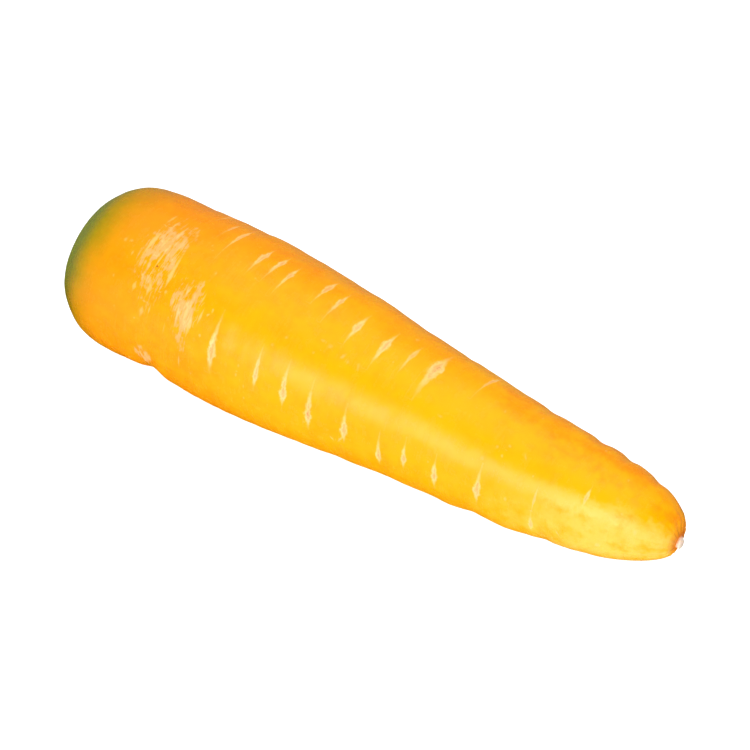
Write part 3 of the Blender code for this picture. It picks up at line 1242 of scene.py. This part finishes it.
    scuffs: tuple = (
        Patch(36.5, 61.0, 6.3, 12.0, 1.15),
        Patch(51.0, 30.0, 3.3, 11.0, 1.15),
        Patch(46.5, 36.0, 2.6, 6.0, 0.7),
        Patch(38.5, -20.0, 3.0, 6.0, 0.85),
        Patch(39.0, 22.0, 4.5, 7.0, 0.35),
        Patch(37.1, 51.0, 1.8, 2.4, -1.2),
        Patch(44.0, 165.0, 5.0, 9.0, 0.8),
        Patch(62.0, -120.0, 4.0, 8.0, 0.7),
        Patch(30.0, -150.0, 4.0, 8.0, 0.7),
    )
    strewn: StrewnMarks = StrewnMarks()
    mark_fade: float = 0.7
    fleck_fade: float = 1.3
    seed: int = 11

    ovality: float = 0.25
    ovality_angle: float = 70.0
    crown_ovality: float = 0.45
    crown_ovality_angle: float = 115.0
    crown_zone: Zone = Zone(12.0, 40.0)
    shoulder_zone: Zone = Zone(20.0, 30.0)
    leaf_scar_edge: tuple = (5.5, 8.5)
    tip_edge: tuple = (1.0, 5.0)
    pole_edge: tuple = (1.0, 2.5)
    lump_grain: Grain = Grain(0.05, 2.0, 0.4)
    lump_height: float = 1.1
    wave_grain: Grain = Grain(0.16, 1.0, 0.5)
    wave_height: float = 0.5
    dimple_grain: Grain = Grain(0.14, 2.0, 0.5)
    dimple_height: float = 0.3
    ripple_grain: Grain = Grain(0.4, 2.0, 0.5)
    ripple_height: float = 0.07
    ring_grain: Grain = Grain(0.7, 2.0, 0.5)
    ring_height: float = 0.02
    ring_share: float = 0.12
    scar_depth: float = 0.22
    scar_taper: float = 1.3
    scar_edge: tuple = (-0.05, 0.55)
    lip_height: float = 0.06
    lip_edge: tuple = (-0.6, -0.1)
    wrinkle_zone: Zone = Zone(171.0, 177.5)
    wrinkle_edge: tuple = (1.6, 2.6)
    wrinkles: float = 13.0
    wrinkle_height: float = 0.07
    wrinkle_grain: Grain = Grain(0.35, 2.0, 0.5)
    wrinkle_sway: float = 9.0

    lie_slope: float = 5.1
    lean: Lean = Lean()
    leaf_bases: LeafBases = field(default_factory=LeafBases)
    skin: CarrotSkin = field(default_factory=CarrotSkin)

    def outline(self) -> list[tuple[float, float]]:
        """Joins the crown, the smoothed body and the tip into one outline.

        Returns:
            Points of distance below the crown and radius, from the middle of the crown to the tip.
        """
        ends = [self.body[0], *self.body, self.body[-1]]
        smooth = []
        for first in range(len(self.body) - 1):
            window = np.array(ends[first : first + 4])
            steps = max(2, round(math.dist(window[1], window[2]) / self.step))
            for step in range(steps):
                t = step / steps
                # What each of the four nearest corners gives to a smooth curve that passes through them all.
                shares = (-t + 2 * t**2 - t**3, 2 - 5 * t**2 + 3 * t**3, t + 4 * t**2 - 3 * t**3, t**3 - t**2)
                smooth.append(tuple(np.array(shares) @ window / 2))
        return [*self.leaf_scar, *smooth, self.body[-1], *self.tip_scar]

    def outline_object(self) -> bpy.types.Object:
        """Makes the outline a chain of edges.

        Returns:
            The chain, with the radius along X and the distance below the crown down -Z.
        """
        points = [(radius, 0.0, -down) for down, radius in self.outline()]
        mesh = bpy.data.meshes.new("root_outline")
        mesh.from_pydata(points, [(i, i + 1) for i in range(len(points) - 1)], [])
        return bpy.data.objects.new("root_outline", mesh)

    def mark_points(self, name: str, marks: list[Mark]) -> bpy.types.Object:
        """Makes one point for each mark.

        Args:
            name: The name of the points.
            marks: The marks.

        Returns:
            The points, with the marks' numbers as attributes and their angles in radians.
        """
        mesh = bpy.data.meshes.new(name)
        mesh.from_pydata([(0.0, 0.0, -mark.down) for mark in marks], [], [])
        for column, numbers in zip(Mark._fields, zip(*marks)):
            turned = np.radians(numbers) if column == "angle" else np.array(numbers)
            stored = mesh.attributes.new(column, Kind.NUMBER.value, "POINT")
            stored.data.foreach_set("value", turned.astype(np.float32))
        return bpy.data.objects.new(name, mesh)

    def turned_from(self, spot: Spot, middle: Value | float) -> Value:
        """Gives the signed angle from a middle, in radians, the short way round."""
        return (spot.angle - middle).math("WRAP", math.pi, -math.pi)

    def fold_field(self, spot: Spot) -> Value:
        """Adds up the folds.

        Args:
            spot: Where on the root the skin is.

        Returns:
            How far the skin stands out there, or below 0 how far it is sunk.
        """
        total = 0.0
        for fold in self.folds:
            along = ((spot.down - fold.down) / (fold.width / 2)).abs().least(1.0)
            around = self.turned_from(spot, math.radians(fold.middle)) / math.radians(fold.spread)
            shape = (along * (math.pi / 2)).cos() * (around.abs().least(1.0) * (math.pi / 2)).cos()
            total = shape * shape * fold.height + total
        return total

    def scuff_field(self, spot: Spot) -> Value:
        """Adds up the scuffed patches.

        Args:
            spot: Where on the root the skin is.

        Returns:
            How strongly the skin is scuffed there.
        """
        total = 0.0
        for patch in self.scuffs:
            along = (spot.down - patch.down) / patch.reach_down
            around = self.turned_from(spot, math.radians(patch.angle)) * spot.radius / patch.reach_round
            soft = (1.0 - (along * along + around * around) * 0.5).most(0.0)
            total = soft * soft * patch.strength + total
        return total

    def flesh(self, spot: Spot) -> Value:
        """Gives 1 where the root is fleshy and 0 on the scars at its two ends."""
        crown = spot.radius.rise(*self.leaf_scar_edge).most(spot.down.rise(*self.shoulder_zone))
        return crown * spot.radius.rise(*self.tip_edge)

    def turned(self, tree: GeometryTree) -> Value:
        """Turns the outline round the root's middle.

        Args:
            tree: The skin's tree.

        Returns:
            A grid of points that are not yet moved, with the grown place of each stored on it.
        """
        outline = tree.node("GeometryNodeMeshToCurve", None, {0: tree.part("Outline", self.outline_object())})
        rings = tree.count("Rings", self.rings)
        columns = tree.count("Sides", self.sides) + 1
        grid_inputs = {"Size X": 1.0, "Size Y": 1.0, "Vertices X": rings, "Vertices Y": columns}
        grid = tree.node("GeometryNodeMeshGrid", None, grid_inputs, "Mesh")
        along, around, _ = tree.split(tree.node("GeometryNodeInputPosition"))
        sample = {"Curves": outline, "Factor": along + 0.5}
        settings = {"mode": "FACTOR", "use_all_curves": True}
        radius, _, height = tree.split(tree.node("GeometryNodeSampleCurve", settings, sample, "Position"))
        turn = around * math.tau
        place = tree.joined(radius * turn.sin(), radius * -turn.cos(), -height)
        return tree.store(grid, "grown_place", place)

    def swollen(self, tree: RootTree, skin: Value) -> Value:
        """Moves the skin to its grown place, a little out of round, folded, lumpy and bent.

        Args:
            tree: The skin's tree.
            skin: The skin, with its grown places stored.

        Returns:
            The closed skin.
        """
        spot = tree.spot
        share = spot.radius / max(radius for _, radius in self.body)
        oval = spot.stretched(self.ovality_angle) * tree.number("Ovality", self.ovality)
        crown = spot.stretched(self.crown_ovality_angle) * self.crown_ovality
        oval = oval + crown * spot.down.fall(*self.crown_zone)
        lumps = tree.noise(spot.place, self.lump_grain) * self.lump_height
        waves = tree.noise(spot.ringed(self.ring_share), self.wave_grain) * self.wave_height
        swell = (oval + lumps + waves) * share + self.fold_field(spot)
        grown = 1.0 + swell * self.flesh(spot) / spot.radius.most(0.5)
        upright = tree.joined(spot.east * grown, spot.north * grown, -spot.down)
        skin = tree.moved(skin, position=tree.vector("ADD", upright, self.lean.at(tree, spot.down)))
        closing = {"Geometry": skin, "Distance": self.merge_distance}
        return tree.node("GeometryNodeMergeByDistance", None, closing)

    def mark_places(self, tree: RootTree, skin: Value, name: str, marks: list[Mark], fade: float) -> Value:
        """Stores where in the nearest of some marks each place of the skin is.

        Args:
            tree: The skin's tree.
            skin: The skin, with its grown places stored.
            name: The name of the stored vector: the place along the mark and across it, each 0 at its widest
                place and 1 at its edge, then the mark's strength, which fades to 0 away from it.
            marks: The marks.
            fade: How far past a mark's edge the strength fades.

        Returns:
            The skin with the vector stored.
        """
        points = tree.part(name, self.mark_points(name, marks))
        spot = tree.spot
        _, _, kept = tree.split(tree.attribute(name))

        def press(marked: Value, turn: Value) -> Value:
            """Stores one mark, where it is stronger than those before it.

            Args:
                marked: The skin with the marks before it.
                turn: Which mark it is.

            Returns:
                The skin with this mark too.
            """

            def of_mark(column: str) -> Value:
                """Reads one of the mark's numbers."""
                inputs = {"Geometry": points, "Value": tree.attribute(column, Kind.NUMBER), "Index": turn}
                return tree.node("GeometryNodeSampleIndex", {"data_type": Kind.NUMBER.value}, inputs)

            half_length = of_mark("length") * 0.5
            half_width = of_mark("width") * 0.5
            widest = of_mark("widest")
            around = self.turned_from(spot, of_mark("angle")) * spot.radius
            along = around / half_length
            beside = spot.down - of_mark("down") - along * 0.5 * of_mark("slant")
            tapered = (along - widest) / (1.0 - widest * (along - widest).math("SIGN"))
            gap = (around.abs() - half_length).most(beside.abs() - half_width)
            strength = gap.fall(fade * 0.4, fade) * of_mark("strength")
            found = tree.joined(tapered, beside / half_width, strength)
            stronger = tree.node("FunctionNodeCompare", {"operation": "GREATER_THAN"}, {0: strength, 1: kept})
            return tree.store(marked, name, found, where=stronger)

        far_away = tree.joined(9.0, 9.0, 0.0)
        return tree.repeated(tree.store(skin, name, far_away), tree.count(name + " count", len(marks)), press)

    def marked(self, tree: RootTree, skin: Value) -> Value:
        """Stores the places in the listed and the strewn marks, and how scuffed the skin is.

        Args:
            tree: The skin's tree.
            skin: The skin, with its grown places stored.

        Returns:
            The skin with all of them.
        """
        chance = np.random.default_rng(self.seed)
        scars = [*self.scars, *self.strewn.hidden_scars(chance)]
        scratches = [*self.scratches, *self.strewn.scuff_scratches(chance, self.scuffs)]
        flecks = [*self.flecks, *self.strewn.strewn_flecks(chance)]
        skin = self.mark_places(tree, skin, "scar_place", scars, self.mark_fade)
        skin = self.mark_places(tree, skin, "scratch_place", scratches, self.mark_fade)
        skin = self.mark_places(tree, skin, "fleck_place", flecks, self.fleck_fade)
        return tree.store(skin, "scuff_place", tree.joined(self.scuff_field(tree.spot), 0.0, 0.0))

    def roughened(self, tree: RootTree, skin: Value) -> Value:
        """Sinks the scars, dimples and ripples the skin, and wrinkles it round the tip.

        Args:
            tree: The skin's tree.
            skin: The skin, with the places in its scars stored.

        Returns:
            The skin with its fine shapes.
        """
        spot = tree.spot
        along, across, near = tree.split(tree.attribute("scar_place"))
        inside = (1.0 - along.abs()).most(0.0) ** self.scar_taper - across.abs()
        sunk = inside.rise(*self.scar_edge) * tree.number("Scar depth", self.scar_depth)
        scarred = (inside.rise(*self.lip_edge) * self.lip_height - sunk) * near
        fine = tree.noise(spot.ringed(self.ring_share), self.ring_grain) * self.ring_height
        fine = fine + tree.noise(spot.place, self.ripple_grain) * self.ripple_height
        fine = fine + tree.noise(spot.place, self.dimple_grain) * self.dimple_height
        sway = (tree.noise(spot.place, self.wrinkle_grain) + 0.5) * self.wrinkle_sway
        tip = spot.down.rise(*self.wrinkle_zone) * spot.radius.rise(*self.wrinkle_edge)
        wrinkled = (spot.angle * self.wrinkles + sway).sin() * self.wrinkle_height * tip
        relief = (scarred + fine * self.flesh(spot) + wrinkled) * spot.radius.rise(*self.pole_edge)
        return tree.moved(skin, offset=tree.scaled(tree.node("GeometryNodeInputNormal"), relief))

    def grown(self) -> GeometryTree:
        """Builds the tree that grows the root's skin, crown up.

        Returns:
            The finished tree.
        """
        tree = RootTree("grown_root")
        skin = self.swollen(tree, self.turned(tree))
        skin = self.roughened(tree, self.marked(tree, skin))
        return tree.finished(skin, self.skin.build())

    def middle(self, mesh: bpy.types.Mesh) -> Vector:
        """Finds the middle of a mesh's surface.

        Args:
            mesh: The mesh.

        Returns:
            The middle, in the mesh's own units.
        """
        areas = np.empty(len(mesh.polygons), dtype=np.float32)
        mesh.polygons.foreach_get("area", areas)
        centres = np.empty(len(mesh.polygons) * 3, dtype=np.float32)
        mesh.polygons.foreach_get("center", centres)
        return Vector(areas @ centres.reshape(-1, 3) / areas.sum())

    def laid(self, mesh: bpy.types.Mesh) -> Matrix:
        """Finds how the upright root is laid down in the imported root's place.

        Args:
            mesh: The grown skin, upright and in millimetres.

        Returns:
            The matrix from upright millimetres to the place on the floor.
        """
        turn = Matrix.Rotation(math.radians(self.lie_slope) - math.pi / 2, 4, "Y") @ Matrix.Scale(MM, 4)
        packed = bpy.data.objects[NODE].data
        return Matrix.Translation(self.middle(packed) - turn @ self.middle(mesh)) @ turn

    def rest(self, mesh: bpy.types.Mesh, floor: float) -> None:
        """Flattens what would reach below the floor, where the root's weight presses on it.

        Args:
            mesh: The laid mesh.
            floor: The floor's height.
        """
        places = np.empty(len(mesh.vertices) * 3, dtype=np.float32)
        mesh.vertices.foreach_get("co", places)
        places = places.reshape(-1, 3)
        places[:, 2] = np.maximum(places[:, 2], floor)
        mesh.vertices.foreach_set("co", places.ravel())
        mesh.update()

    def dress(self, name: str, mesh: bpy.types.Mesh) -> None:
        """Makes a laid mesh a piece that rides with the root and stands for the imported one.

        Args:
            name: The piece's name.
            mesh: The mesh, with its material on.
        """
        mesh.name = name
        piece = bpy.data.objects.new(name, mesh)
        bpy.context.scene.collection.objects.link(piece)
        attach(piece, BODY)
        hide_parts(NODE)
        LOG.info("%s: %d faces", name, len(mesh.polygons))

    def build(self) -> None:
        """Grows the skin and the leaf bases, and lays both down."""
        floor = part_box(NODE)[0][2]
        skin = self.grown().grow("carrot_skin_surface")
        stalks = self.leaf_bases.grown(self.lean).grow("leaf_stalk_stubs")
        laying = self.laid(skin)
        for name, mesh in (("carrot_root_skin", skin), ("cut_leaf_bases", stalks)):
            mesh.transform(laying)
            self.rest(mesh, floor)
            self.dress(name, mesh)


class Panel(NamedTuple):
    """A soft rectangular light, in metres and watts, and whether the root's gloss mirrors it."""

    name: str
    centre: tuple
    target: tuple
    size: tuple
    power: float
    mirrored: bool


@dataclass
class Studio:
    """The pale floor, the soft lights and the camera, in metres and degrees."""

    azimuth: float = 36.5
    elevation: float = 34.5
    distance: float = 0.571
    lens: float = 113.5
    sensor: float = 36.0
    nearest: float = 0.01
    aim: tuple = (0.0041, 0.0002, 0.023)
    floor_size: float = 6.0
    floor_squares: int = 8
    panels: tuple = (
        Panel("front_panel", (0.175, -0.75, 0.195), (0.175, 0.25, 0.195), (0.9, 0.39), 3.12, True),
        Panel("fill_panel", (0.91, -0.75, 0.195), (0.91, 0.25, 0.195), (0.57, 0.39), 2.3, False),
        Panel("overhead_panel", (0.0, 0.0, 1.2), aim, (1.6, 1.6), 17.0, False),
    )
    ambient: float = 0.22
    front_shade: float = 0.8
    front_fade: tuple = (0.1, 0.8)
    below_fade: tuple = (-0.62, -0.25)
    backdrop: float = 0.75
    paper: StudioPaper = field(default_factory=StudioPaper)

    def towards_viewer(self) -> Vector:
        """Gives the direction from the root to the camera."""
        around, up = math.radians(self.azimuth), math.radians(self.elevation)
        return Vector((math.sin(around) * math.cos(up), -math.cos(around) * math.cos(up), math.sin(up)))

    def point_at(self, placed: bpy.types.Object, target: tuple) -> None:
        """Turns a light or camera towards a point."""
        placed.rotation_euler = (Vector(target) - placed.location).to_track_quat("-Z", "Y").to_euler()

    def add_camera(self) -> None:
        """Places the camera and makes it the scene's own."""
        data = bpy.data.cameras.new("camera")
        data.lens = self.lens
        data.sensor_width = self.sensor
        data.clip_start = self.nearest
        camera = bpy.data.objects.new("camera", data)
        bpy.context.scene.collection.objects.link(camera)
        camera.location = Vector(self.aim) + self.towards_viewer() * self.distance
        self.point_at(camera, self.aim)
        bpy.context.scene.camera = camera

    def add_floor(self) -> None:
        """Lays a large sheet of paper under the root."""
        squares = self.floor_squares
        bpy.ops.mesh.primitive_grid_add(x_subdivisions=squares, y_subdivisions=squares, size=self.floor_size)
        floor = bpy.context.object
        floor.name = "studio_floor"
        floor.data.materials.append(self.paper.build())
        floor.visible_glossy = False

    def add_panel(self, panel: Panel) -> None:
        """Adds a soft rectangular light.

        Args:
            panel: The light.
        """
        lamp = bpy.data.lights.new(panel.name, "AREA")
        lamp.shape = "RECTANGLE"
        lamp.size, lamp.size_y = panel.size
        lamp.energy = panel.power
        light = bpy.data.objects.new(panel.name, lamp)
        bpy.context.scene.collection.objects.link(light)
        light.location = panel.centre
        light.visible_glossy = panel.mirrored
        self.point_at(light, panel.target)

    def add_surround(self) -> None:
        """Adds a soft, even surround, darker on the viewer's side and below, with a plain white backdrop."""
        world = bpy.data.worlds.new("studio")
        world.use_nodes = True
        tree = Tree(world.node_tree)
        surround = tree.tree.nodes["Background"]
        surround.inputs["Color"].default_value = WHITE
        away = tree.node("ShaderNodeTexCoord", None, None, "Generated")
        _, _, up = tree.split(away)
        front = tree.vector("DOT_PRODUCT", away, tuple(self.towards_viewer()), output="Value")
        light = (1.0 - self.front_shade * front.rise(*self.front_fade)) * self.ambient
        seen = tree.node("ShaderNodeLightPath", None, None, "Is Camera Ray")
        tree.connect(surround.inputs["Strength"], up.rise(*self.below_fade) * light + seen * self.backdrop)
        bpy.context.scene.world = world

    def build(self) -> None:
        """Sets up the whole studio, with colours shown crisp and full."""
        self.add_camera()
        self.add_floor()
        for panel in self.panels:
            self.add_panel(panel)
        self.add_surround()
        shown = bpy.context.scene.view_settings
        shown.view_transform = "Standard"
        shown.look = "Medium High Contrast"


def main() -> None:
    """Builds the studio and the carrot."""
    logging.basicConfig(level=logging.INFO, format="%(name)s %(message)s")
    Studio().build()
    CarrotRoot().build()


if __name__ == "__main__":
    main()
